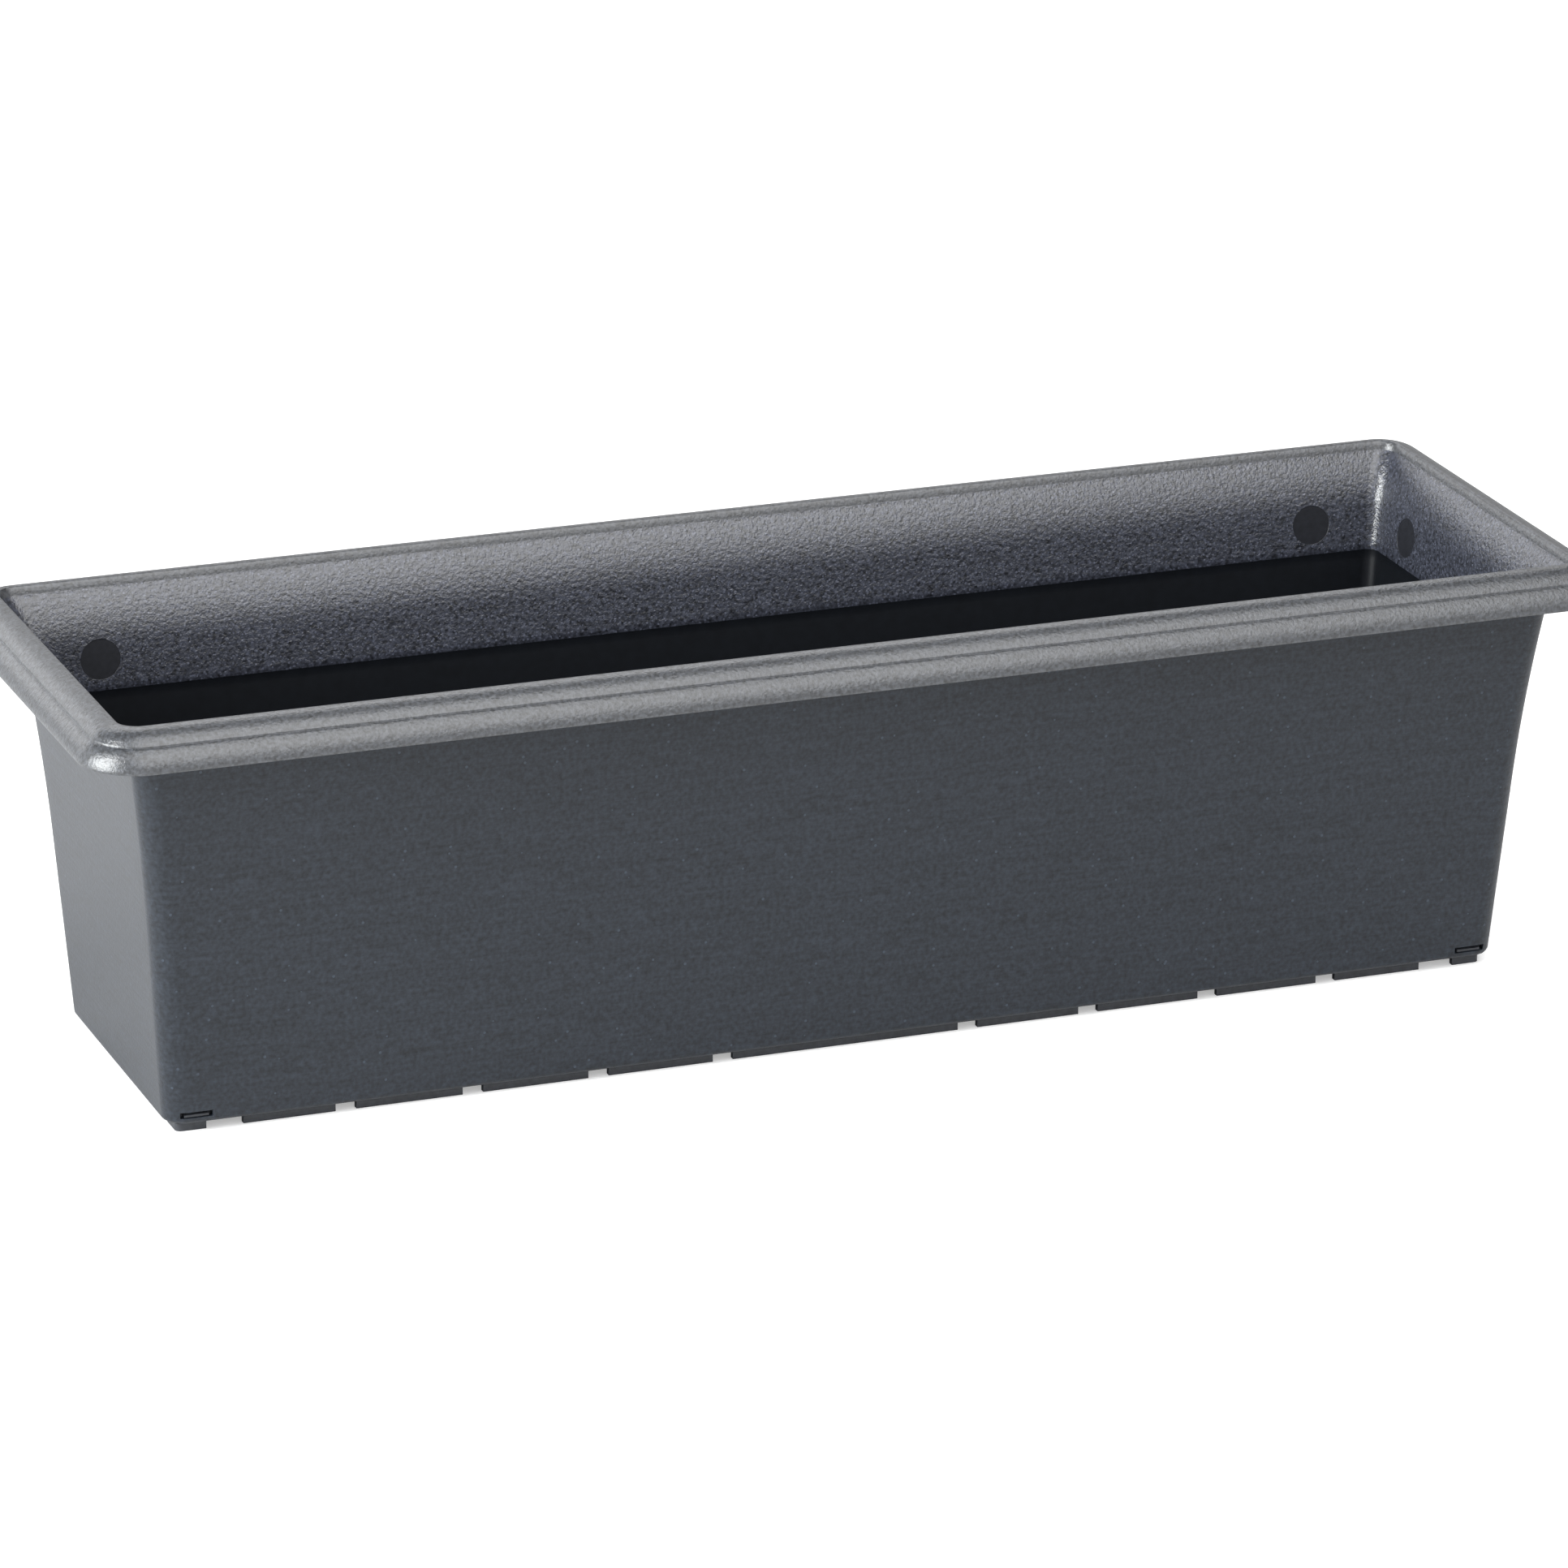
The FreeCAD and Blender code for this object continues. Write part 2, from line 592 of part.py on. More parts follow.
def build_base_tray():
    body = doc.addObject("PartDesign::Body", "base_tray")
    body.Label = "base_tray"
    draft = cell("tray_draft")

    def outlines(name, low, inset, corner):
        high = f"({tray_top} + {inset})"
        grown = f"({draft} * ({high} - {bottom_edge}) / {cell('tray_depth')})"
        return [
            rounded_sketch(body, f"{name}_low", low, f"{tray_half_length} - {inset}",
                           f"{tray_half_width} - {inset}", corner),
            rounded_sketch(body, f"{name}_high", high, f"{tray_half_length} - {inset} - {grown}",
                           f"{tray_half_width} - {inset} - {grown}", corner),
        ]

    loft(body, "Additive", "tray_block", outlines("tray", bottom_edge, "0", cell("tray_corner")))
    inner_corner = f"{cell('tray_corner')} - {cell('tray_wall')}"
    loft(body, "Subtractive", "dish",
         outlines("dish", tray_floor, cell("tray_wall"), inner_corner))
    foot_ring(body)
    posts(body)
    return body


# ---------------------------------------------------------------- snap lugs

def build_snap_lugs():
    """Four wedges on the tray's long walls that snap into the slots of the skirt."""
    low = f"({slot_level} - {cell('slot_opening')} / 2 + {cell('lug_gap')})"
    high = f"({slot_level} + {cell('slot_opening')} / 2 - {cell('lug_gap')})"

    def tray_face(level):
        lean = f"{cell('tray_draft')} * ({level} - {bottom_edge}) / {cell('tray_depth')}"
        return f"({tray_half_width} - {lean})"

    tip = f"({straight_wall(half_width, 'side_taper', low)} - {cell('lug_recess')})"
    start = f"({slot_place} - {cell('lug_length')} / 2)"
    outline = [
        (tray_face(low), low),
        (tip, low),
        (tip, f"({low} + {cell('lug_tip')})"),
        (tray_face(high), high),
    ]
    # the section lies across the box and is drawn along it
    section = doc.addObject("Sketcher::SketchObject", "lug_section")
    section.setExpression("Placement.Base.x", start)
    section.Placement.Rotation = Rotation(Vector(1, 1, 1), 120)
    points = [Vector(number(across), number(level), 0) for across, level in outline]
    count = len(points)
    for index in range(count):
        section.addGeometry(Part.LineSegment(points[index], points[(index + 1) % count]), False)
    for index in range(count):
        section.addConstraint(Sketcher.Constraint("Coincident", index, 2, (index + 1) % count, 1))
        place_point(section, f"corner{index}", index, 1, *outline[index])
    doc.recompute()

    lug = doc.addObject("Part::Extrusion", "lug")
    lug.Base = section
    lug.DirMode = "Custom"
    lug.Dir = Vector(1, 0, 0)
    lug.setExpression("LengthFwd", cell("lug_length"))
    lug.Solid = True
    other_end = doc.addObject("Part::Mirroring", "lug_other_end")
    other_end.Source = lug
    other_end.Normal = Vector(1, 0, 0)
    near_side = []
    for source in (lug, other_end):
        copy = doc.addObject("Part::Mirroring", f"{source.Name}_near")
        copy.Source = source
        copy.Normal = Vector(0, 1, 0)
        near_side.append(copy)
    lugs = doc.addObject("Part::Compound", "snap_lugs")
    lugs.Label = "snap_lugs"
    lugs.Links = [lug, other_end] + near_side
    doc.recompute()
    return lugs


# ---------------------------------------------------------------- build and write

parts = [build_planter_box(), build_base_tray(), build_snap_lugs()]
doc.recompute()

for item in doc.Objects:
    if "Invalid" in item.State or "Error" in item.State:
        raise RuntimeError(f"{item.Name} failed: {item.State}")
for part in parts:
    if part.Shape.isNull() or not part.Shape.isValid():
        raise RuntimeError(f"{part.Label} has no valid shape")

os.makedirs("parts", exist_ok=True)
for part in parts:
    part.Shape.exportStep(f"parts/{part.Label}.step")
    print(part.Label, len(part.Shape.Solids), "solids", round(part.Shape.Volume), "mm3")
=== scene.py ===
import bmesh
import bpy
import math
import numpy as np
from mathutils import Matrix, Vector
from mathutils.geometry import tessellate_polygon


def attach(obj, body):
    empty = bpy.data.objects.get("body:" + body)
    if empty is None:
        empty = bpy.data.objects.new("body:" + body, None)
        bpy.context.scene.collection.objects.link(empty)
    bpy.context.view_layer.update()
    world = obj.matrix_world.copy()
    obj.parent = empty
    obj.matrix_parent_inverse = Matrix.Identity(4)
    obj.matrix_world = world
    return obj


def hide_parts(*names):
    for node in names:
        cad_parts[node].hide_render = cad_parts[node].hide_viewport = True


# Window box with a stepped, rolled lip, standing on a clip-in drip tray.
# Metres. X runs along the box, Y to the back, Z up, the ground is at Z = 0.

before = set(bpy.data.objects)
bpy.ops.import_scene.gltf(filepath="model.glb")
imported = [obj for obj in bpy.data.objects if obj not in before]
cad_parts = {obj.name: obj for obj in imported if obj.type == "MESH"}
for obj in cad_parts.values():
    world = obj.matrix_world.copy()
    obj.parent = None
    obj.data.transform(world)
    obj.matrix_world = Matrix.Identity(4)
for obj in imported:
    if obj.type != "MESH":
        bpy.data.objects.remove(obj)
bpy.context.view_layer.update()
print("frame loaded:", sorted(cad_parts))


# box

boxShape = {
    "halfLength": 0.3000,
    "halfWidth": 0.1000,
    "bottom": 0.0040,
    "wall": 0.0022,
    "overhang": 0.0234,      # lip outer face to wall, at the lip's lower edge
    "lipEdge": 0.1523,       # level of the lip's lower edge
    "endTaper": 0.0109,      # lean of the end walls, lip edge to bottom
    "sideTaper": 0.0118,     # lean of the long walls, lip edge to bottom
    "flareFrom": 0.0760,     # level where the gentle flare starts
    "flareReach": 0.0040,    # what the gentle flare adds up to the crease
    "mouthFrom": 0.1431,     # level where the tight mouth curve starts
    "crease": 0.1631,        # level where the mouth meets the lip
    "creaseInset": 0.0161,
    "lipCorner": 0.0226,     # plan radius of the lip
    "wallCorner": 0.0087,    # plan radius of the wall's outside
    "cornerTightening": 0.0020,   # what the inner corner's radius loses on the way down
    "bottomRound": 0.0020,
    "skirtEdge": 0.0026,     # wall to the inside of the skirt, at the bottom
    "skirtDraft": 0.0005,
    "skirtCorner": 0.0034,
    "skirtRound": 0.0003,    # rounding of the skirt's inner edge
    "floorUnder": 0.0220,
    "floorOver": 0.0244,
    "floorRound": 0.0050,
    "floorCorner": 0.0020,   # what the corner's radius gains on the way down to the floor
    "grainLine": 0.1260,     # the coarse grain ends here
    "grainStep": 0.00012,
    "grainEdge": 0.00025,    # height of the step at the grain's end
}

# the lip's section in millimetres: (inset from the outer face, height above the lip's lower edge)
lipShape = {
    "underCrease": [(15.3, 8.7), (14.2, 10.4), (13.1, 11.6)],
    "hollow": (12.1, 12.0),      # the underside is one arc from here
    "innerFace": (2.0, 4.2),     # to here
    "hollowRadius": 30.0,
    "hollowSteps": 6,
    "lowerEdge": [(2.0, 0.4), (1.7, 0.1), (1.4, 0.0), (0.5, 0.0), (0.15, 0.1)],
    "face": (0.0, 0.6),          # the outer face is one arc from here
    "shoulder": (4.8, 8.35),     # to here
    "faceRadius": 12.0,
    "faceSteps": 14,
    "step": [(4.97, 8.42), (5.09, 8.52), (5.14, 8.9), (5.2, 9.1)],
    "crownStart": (5.42, 9.33),
    "crown": (14.1, 14.0),       # highest line
    "crownSteps": 14,
    "overTheTop": (15.1, 14.0),  # the roll into the mouth heads for this point
    "crest": (16.05, 10.95),
    "rollSteps": 12,
}

slotShape = {
    "near": 0.2486,
    "far": 0.2606,
    "low": 0.0064,
    "high": 0.0088,
    "cornerStart": 0.2570,   # where the wall's corner starts, at the slot's level
}

drainShape = {"radius": 0.0040, "row": 0.0290, "across": [-0.1473, 0.0, 0.1473], "sides": 32}

padShape = {
    "radius": 0.0078,
    "fromCorner": 0.0280,
    "level": 0.1375,
    "depth": 0.00012,
    "edge": 0.00020,
    # the square that each pad is set into
    "top": 0.1466,
    "bottom": 0.1284,
    "alongSide": (0.2382, 0.2564),
    "alongEnd": (0.0381, 0.0560),
}

# where the rows and columns of the skin lie: (from, to, count) in metres, or a count of their own
skinRows = {
    "bottomRound": 7,
    "mouth": 14,
    "pad": 11,
    "floorRound": 9,
    "skirt": 0.0150,
    "skirtFoot": 0.0006,     # above the bottom
    "outside": [(0.012, 0.012, 1), (0.020, 0.076, 8), (0.080, 0.1400, 14), (0.1431, 0.1603, 14)],
    "smooth": [(0.122, 0.076, 12), (0.068, 0.0344, 5)],
}
skinColumns = {
    "side": (-0.220, 0.220, 23),
    "end": (-0.028, 0.028, 5),
    "padToSlot": 6,
    "slotToPad": 5,
    "padAcross": 10,
    "cornerSteps": 16,
    "slotStep": 4,           # this step of the corner moves to the slot's end
}

# the finish of each face, in the order of the box's materials
trayZone, wallZone, lipZone, grainZone, smoothZone, padZone = range(6)


def straightWall(half, taper, z):
    # half size of the drafted wall before its flare: a line from the bottom to the lip edge
    s = boxShape
    return half - s["overhang"] - taper * (s["lipEdge"] - z) / (s["lipEdge"] - s["bottom"])


def flaredWall(half, taper, z):
    # the drafted line plus two flares, each the square of its height share
    s = boxShape
    gentle, tight = [(np.maximum(z - start, 0) / (s["crease"] - start)) ** 2
                     for start in (s["flareFrom"], s["mouthFrom"])]
    creaseHalf = half - s["creaseInset"] + s["wall"]
    reach = creaseHalf - s["flareReach"] - straightWall(half, taper, s["crease"])
    return straightWall(half, taper, z) + s["flareReach"] * gentle + reach * tight


def wallRows(z, inset, corner):
    # rows of (half length, half width, corner radius, level) that follow the wall at an inset
    s = boxShape
    z = np.asarray(z, float)
    inset = np.broadcast_to(inset, z.shape)
    return np.stack([flaredWall(s["halfLength"], s["endTaper"], z) - inset,
                     flaredWall(s["halfWidth"], s["sideTaper"], z) - inset,
                     corner - inset, z], axis=1)


def insideCorner(z):
    # the inner corner tightens from the mouth down to the end of the grain, by a smooth step
    s = boxShape
    share = np.clip((s["crease"] - np.asarray(z, float)) / (s["crease"] - s["grainLine"]), 0, 1)
    return s["wallCorner"] - s["cornerTightening"] * share * share * (3 - 2 * share)


def lipRows(points):
    # the same rows from points given as (inset from the outer face, level)
    s = boxShape
    inset, z = np.asarray(points, float).T
    return np.stack([s["halfLength"] - inset, s["halfWidth"] - inset,
                     s["lipCorner"] - inset, z], axis=1)


def arc(start, end, radius, side, steps):
    # points at even angles on an arc of a given radius through two points: its centre lies on the
    # line square to the middle of the chord, on the left of it for side 1 and on the right for -1
    start, end = np.array(start, float), np.array(end, float)
    chord = end - start
    middle = (start + end) / 2
    square = np.array([-chord[1], chord[0]]) / np.linalg.norm(chord)
    centre = middle + square * side * math.sqrt(max(radius ** 2 - chord @ chord / 4, 0))
    a, b = [math.atan2(*(p - centre)[::-1]) for p in (start, end)]
    b += 2 * math.pi * round((a - b) / (2 * math.pi))
    angle = np.linspace(a, b, steps + 1)
    return centre + radius * np.stack([np.cos(angle), np.sin(angle)], axis=1)


def bend(start, pull, end, steps):
    # a curve that leaves start towards pull and reaches end coming from it
    start, pull, end = np.array(start), np.array(pull), np.array(end)
    t = np.linspace(0, 1, steps + 1)[:, None]
    return (1 - t) ** 2 * start + 2 * t * (1 - t) * pull + t ** 2 * end


def levelRadius(start, end):
    # radius of the arc that arrives at its end level: half of (rise + run squared over rise)
    run, rise = abs(end[0] - start[0]), abs(end[1] - start[1])
    return (run * run + rise * rise) / (2 * rise)


def lipLine():
    # the lip's section from its hollow underside round the outside to the crease
    mm = 0.001
    lip = lipShape
    under = np.concatenate([
        lip["underCrease"],
        arc(lip["hollow"], lip["innerFace"], lip["hollowRadius"], 1, lip["hollowSteps"]),
        lip["lowerEdge"],
    ])
    # the outer face is one wide arc up to a small step; the crown bulges from there to its highest
    # line and rolls over into the mouth, a little steeper than the mouth's own slope
    crownRadius = levelRadius(lip["step"][-1], lip["crown"])
    outside = np.concatenate([
        arc(lip["face"], lip["shoulder"], lip["faceRadius"], -1, lip["faceSteps"]),
        lip["step"],
        arc(lip["crownStart"], lip["crown"], crownRadius, -1, lip["crownSteps"]),
        bend(lip["crown"], lip["overTheTop"], lip["crest"], lip["rollSteps"])[1:],
    ])
    lowerEdge = (0, boxShape["lipEdge"])
    return under * mm + lowerEdge, outside * mm + lowerEdge


def levels(spans):
    # even steps over each (from, to, count), one after the other
    return np.concatenate([np.linspace(*span) for span in spans])


def boxRows():
    # every row of the closed skin, from the edge of the floor's underside to the edge of the floor
    s, slot, pad = boxShape, slotShape, padShape
    low = s["bottom"]
    skirtZ = np.array([s["floorUnder"], skinRows["skirt"], slot["high"], slot["low"],
                       low + skinRows["skirtFoot"]])
    draft = s["skirtDraft"] * (skirtZ - low) / (s["floorUnder"] - low)
    baseLong = straightWall(s["halfLength"], s["endTaper"], low) - s["skirtEdge"]
    baseWide = straightWall(s["halfWidth"], s["sideTaper"], low) - s["skirtEdge"]
    skirt = np.stack([baseLong - draft, baseWide - draft,
                      np.full(len(skirtZ), s["skirtCorner"]), skirtZ], axis=1)
    skirtEdge = [[baseLong + s["skirtRound"], baseWide + s["skirtRound"], s["skirtCorner"], low]]
    turn = np.linspace(0, math.pi / 2, skinRows["bottomRound"])
    rounded = wallRows(low + s["bottomRound"] * (1 - np.cos(turn)),
                       s["bottomRound"] * (1 - np.sin(turn)), s["wallCorner"])
    outerZ = np.concatenate([[slot["low"], slot["high"]], levels(skinRows["outside"])])
    outer = wallRows(outerZ, 0.0, s["wallCorner"])
    under, outside = lipLine()
    innerZ = np.concatenate([np.linspace(s["crease"], pad["top"], skinRows["mouth"]),
                             np.linspace(pad["top"], pad["bottom"], skinRows["pad"])[1:],
                             [s["grainLine"]]])
    grain = wallRows(innerZ, s["wall"], insideCorner(innerZ))
    smoothWall = s["wall"] - s["grainStep"]
    lowZ = np.concatenate([[s["grainLine"] - s["grainEdge"]], levels(skinRows["smooth"])])
    smooth = wallRows(lowZ, smoothWall, insideCorner(lowZ))
    floorTurn = np.linspace(math.pi / 2, 0, skinRows["floorRound"])
    inward = 1 - np.sin(floorTurn)
    floorEdge = wallRows(s["floorOver"] + s["floorRound"] * (1 - np.cos(floorTurn)),
                         smoothWall + s["floorRound"] * inward,
                         insideCorner(s["floorOver"]) + s["floorCorner"] * inward)
    parts = [(trayZone, [skirt, skirtEdge]), (wallZone, [rounded, outer]),
             (lipZone, [lipRows(under), lipRows(outside)]), (grainZone, [grain]),
             (smoothZone, [smooth, floorEdge])]
    parts = [(zone, np.concatenate(pieces)) for zone, pieces in parts]
    rows = np.concatenate([part for _, part in parts])
    zones = np.concatenate([np.full(len(part), zone) for zone, part in parts])
    return rows, zones


# columns of the skin: fixed places along the straight sides, angles round the corners
padStart, padEnd = padShape["alongSide"]
padAlong = np.concatenate([np.linspace(padStart, slotShape["near"], skinColumns["padToSlot"]),
                           np.linspace(slotShape["near"], padEnd, skinColumns["slotToPad"])[1:]])
longPlaces = np.concatenate([-padAlong[::-1], np.linspace(*skinColumns["side"]), padAlong])
padAcross = np.linspace(*padShape["alongEnd"], skinColumns["padAcross"])
shortPlaces = np.concatenate([-padAcross[::-1], np.linspace(*skinColumns["end"]), padAcross])
slotTurn = math.asin((slotShape["far"] - slotShape["cornerStart"]) / boxShape["wallCorner"])
evenTurns = np.linspace(0, math.pi / 2, skinColumns["cornerSteps"] + 1)
cornerTurns = np.sort(np.append(np.delete(evenTurns, skinColumns["slotStep"]), slotTurn))


def ringPoints(rows):
    # carries each row round a rounded rectangle, anticlockwise from the left end of the front side:
    # a corner's centre is the half sizes less the radius, and its points are that centre plus the
    # radius times the cosine and sine of the turn
    a, b, r, z = [rows[:, i:i + 1] for i in range(4)]
    one = np.ones_like(a)
    cx, cy = a - r, b - r
    xs, ys = [], []
    turns = [cornerTurns, math.pi / 2 - cornerTurns[::-1]]
    sides = [(one * longPlaces, -b * np.ones(len(longPlaces)), 1, -1),
             (a * np.ones(len(shortPlaces)), one * shortPlaces, 1, 1),
             (-one * longPlaces, b * np.ones(len(longPlaces)), -1, 1),
             (-a * np.ones(len(shortPlaces)), -one * shortPlaces, -1, -1)]
    for side, (x, y, sx, sy) in enumerate(sides):
        xs.append(x)
        ys.append(y)
        turn = turns[side % 2] + (side - 1) * math.pi / 2
        xs.append(sx * cx + r * np.cos(turn))
        ys.append(sy * cy + r * np.sin(turn))
    x, y = np.concatenate(xs, axis=1), np.concatenate(ys, axis=1)
    return np.stack([x, y, z * np.ones_like(x)], axis=2)


def quadsBetween(first, second):
    # quads between two closed loops of the same length
    return np.stack([first, np.roll(first, -1), np.roll(second, -1), second], axis=1)


# where each side's columns start in a row: front, right end, back, left end
longCount, shortCount, turnCount = len(longPlaces), len(shortPlaces), len(cornerTurns)
halfCount = longCount + shortCount + 2 * turnCount
sideStart = [0, longCount + turnCount, halfCount, halfCount + longCount + turnCount]


class Skin:
    # collects points and faces of one closed skin; zone is the finish of each face
    def __init__(self, grid):
        self.columns = grid.shape[1]
        self.number = np.arange(grid[..., 0].size).reshape(grid.shape[:2])
        self.keep = np.ones((grid.shape[0] - 1, self.columns), bool)
        self.points = [grid.reshape(-1, 3)]
        self.total = grid[..., 0].size
        self.faces, self.zones = [], []

    def addPoints(self, points):
        self.points.append(points)
        self.total += len(points)
        return np.arange(self.total - len(points), self.total)

    def addFaces(self, faces, zone):
        if faces.shape[1] == 3:
            faces = np.column_stack([faces, faces[:, 2]])   # a repeated point marks a triangle
        self.faces.append(faces)
        self.zones.append(np.full(len(faces), zone) if np.isscalar(zone) else zone)

    def addRing(self, first, points, zone):
        # quads from a loop that is there to a new loop of as many points
        second = self.addPoints(points)
        self.addFaces(quadsBetween(first, second), zone)
        return second


def cutSlots(skin, rows, zones):
    # cells are left out of both faces of the skirt, and four walls join the two openings
    turnAt = int(np.argmin(np.abs(cornerTurns - slotTurn)))
    nearAt = int(np.argmin(np.abs(longPlaces - slotShape["near"])))
    backTurn = longCount + turnCount + shortCount + turnCount - 1 - turnAt
    spans = [(nearAt, longCount + turnAt), (backTurn, halfCount + longCount - 1 - nearAt)]
    spans += [(start + halfCount, end + halfCount) for start, end in spans]
    inside = [rowAt(rows, zones, slotShape[key], trayZone) for key in ("high", "low")]
    outside = [rowAt(rows, zones, slotShape[key], wallZone) for key in ("high", "low")]
    for start, end in spans:
        cells = np.arange(start, end) % skin.columns
        path = np.arange(start, end + 1) % skin.columns
        skin.keep[inside[0]:inside[1], cells] = False
        skin.keep[outside[1]:outside[0], cells] = False
        loops = [np.concatenate([skin.number[high, path], skin.number[low, path[::-1]]])
                 for high, low in (inside, outside)]
        skin.addFaces(quadsBetween(*loops), wallZone)


def setPads(skin, rows, zones):
    # a square of cells is left out of the inner wall and closed by rings that narrow to a flat pad
    s, p = boxShape, padShape
    number = skin.number
    top, bottom = [rowAt(rows, zones, p[key], grainZone) for key in ("top", "bottom")]
    lengthWall = (s["halfLength"], s["endTaper"])
    widthWall = (s["halfWidth"], s["sideTaper"])
    kinds = [(widthWall, lengthWall, longPlaces, p["alongSide"]),
             (lengthWall, widthWall, shortPlaces, p["alongEnd"])]
    level, step = p["level"], 0.001
    for side, sign in [(side, sign) for side in range(4) for sign in (1, -1)]:
        wall, otherWall, places, square = kinds[side % 2]
        first, last = sorted(int(np.argmin(np.abs(places - sign * x))) for x in square)
        first, last = first + sideStart[side], last + sideStart[side]
        skin.keep[top:bottom, first:last] = False
        loop = np.concatenate([number[top, first:last], number[top:bottom, last],
                               number[bottom, last:first:-1], number[bottom:top:-1, first]])
        turn = side * math.pi / 2
        along = np.array([math.cos(turn), math.sin(turn), 0.0])
        out = np.array([math.sin(turn), -math.cos(turn), 0.0])
        lean = (flaredWall(*wall, level + step) - flaredWall(*wall, level)) / step
        up = (np.array([0.0, 0.0, 1.0]) + out * lean) / math.hypot(1, lean)
        reach = flaredWall(*wall, level) - s["wall"]
        place = flaredWall(*otherWall, level) - s["wall"] - p["fromCorner"]
        centre = along * place * sign + out * reach + np.array([0.0, 0.0, level])
        edge = skin.points[0][loop] - centre
        compass = np.stack([edge @ along, edge @ up], axis=1)
        compass /= np.linalg.norm(compass, axis=1)[:, None]

        def disc(radius, depth):
            flat = centre + radius * (compass[:, :1] * along + compass[:, 1:] * up)
            if depth:
                return flat + out * depth
            onWall = flaredWall(*wall, flat[:, 2]) - s["wall"]
            return flat + np.outer(onWall - flat @ out, out)

        ring = skin.addRing(loop, disc(p["radius"] + p["edge"], 0), grainZone)
        ring = skin.addRing(ring, disc(p["radius"], 0), grainZone)
        ring = skin.addRing(ring, disc(p["radius"] - p["edge"] / 2, p["depth"]), padZone)
        ring = skin.addRing(ring, disc(p["radius"] - p["edge"] * 2, p["depth"]), padZone)
        middle = skin.addPoints((centre + out * p["depth"])[None])
        fan = np.stack([ring, np.roll(ring, -1), np.full(len(ring), middle[0])], axis=1)
        skin.addFaces(fan, padZone)


def fillFloor(skin):
    # both faces of the floor, between the first or last row and the drainage holes, and the holes
    d = drainShape
    turn = np.linspace(0, 2 * math.pi, d["sides"], endpoint=False)
    circle = d["radius"] * np.stack([np.cos(turn), np.sin(turn), 0 * turn], axis=1)
    centres = [(x, y) for y in (-d["row"], d["row"]) for x in d["across"]]
    holes = []
    for row, level, zone in ((0, boxShape["floorUnder"], trayZone),
                             (-1, boxShape["floorOver"], smoothZone)):
        rims = [skin.addPoints(circle + (x, y, level)) for x, y in centres]
        loops = [skin.number[row]] + rims
        points = np.concatenate(skin.points)
        fill = tessellate_polygon([[Vector(point) for point in points[loop]] for loop in loops])
        skin.addFaces(np.concatenate(loops)[np.array(fill)], zone)
        holes.append(rims)
    for lower, upper in zip(*holes):
        skin.addFaces(quadsBetween(lower, upper), smoothZone)


def rowAt(rows, zones, level, zone):
    # the first row of a zone at a level
    near = 1e-7
    return int(np.flatnonzero((np.abs(rows[:, 3] - level) < near) & (zones == zone))[0])


def makeBox():
    # the box's skin: a ring of points for each row, with the slots and pads set in and the floor filled
    rows, zones = boxRows()
    skin = Skin(ringPoints(rows))
    cutSlots(skin, rows, zones)
    setPads(skin, rows, zones)
    row, column = np.nonzero(skin.keep)
    following = (column + 1) % skin.columns
    number = skin.number
    cells = np.stack([number[row, column], number[row, following],
                      number[row + 1, following], number[row + 1, column]], axis=1)
    skin.addFaces(cells, zones[row])
    fillFloor(skin)
    return np.concatenate(skin.points), np.concatenate(skin.faces), np.concatenate(skin.zones)


def meshFrom(name, vertices, faces, zones):
    # writes the arrays into a mesh; a quad that repeats its last point becomes a triangle
    used, renumbered = np.unique(faces, return_inverse=True)
    faces = renumbered.reshape(faces.shape)
    vertices = vertices[used]
    isTriangle = faces[:, 3] == faces[:, 2]
    sizes = np.where(isTriangle, 3, 4)
    corners = faces.ravel()[np.column_stack([np.ones((len(faces), 3), bool), ~isTriangle]).ravel()]
    mesh = bpy.data.meshes.new(name)
    mesh.vertices.add(len(vertices))
    mesh.vertices.foreach_set("co", vertices.ravel())
    mesh.loops.add(len(corners))
    mesh.loops.foreach_set("vertex_index", corners.astype(np.int32))
    mesh.polygons.add(len(faces))
    starts = np.concatenate([[0], np.cumsum(sizes)[:-1]])
    mesh.polygons.foreach_set("loop_start", starts.astype(np.int32))
    mesh.polygons.foreach_set("material_index", zones.astype(np.int32))
    mesh.update(calc_edges=True)
    mesh.validate()
    return mesh


boxMesh = meshFrom("planterBoxSkin", *makeBox())
work = bmesh.new()
work.from_mesh(boxMesh)
bmesh.ops.recalc_face_normals(work, faces=work.faces)
openEdges = sum(1 for edge in work.edges if not edge.is_manifold)
cubicMm = round(work.calc_volume() * 1e9)
print("box skin:", len(work.faces), "faces,", openEdges, "open edges,", cubicMm, "mm3")
work.to_mesh(boxMesh)
work.free()
boxMesh.shade_smooth()
sharpFrom = math.radians(35)   # edges that turn by more than this stay crisp
boxMesh.set_sharp_from_angle(angle=sharpFrom)
planterBox = bpy.data.objects.new("planterBoxSkin", boxMesh)
bpy.context.scene.collection.objects.link(planterBox)
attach(planterBox, "box")
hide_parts("planter_box")


# plastics

def newMaterial(name, color, roughness):
    material = bpy.data.materials.new(name)
    material.use_nodes = True
    nodes, links = material.node_tree.nodes, material.node_tree.links
    shader = nodes["Principled BSDF"]
    shader.inputs["Base Color"].default_value = (*color, 1)
    shader.inputs["Roughness"].default_value = roughness
    return material, nodes, links, shader


def addNode(nodes, kind, **settings):
    # a setting fills the input of that name, or else the node's own property
    node = nodes.new(kind)
    for key, value in settings.items():
        if key in node.inputs:
            node.inputs[key].default_value = value
        else:
            setattr(node, key, value)
    return node


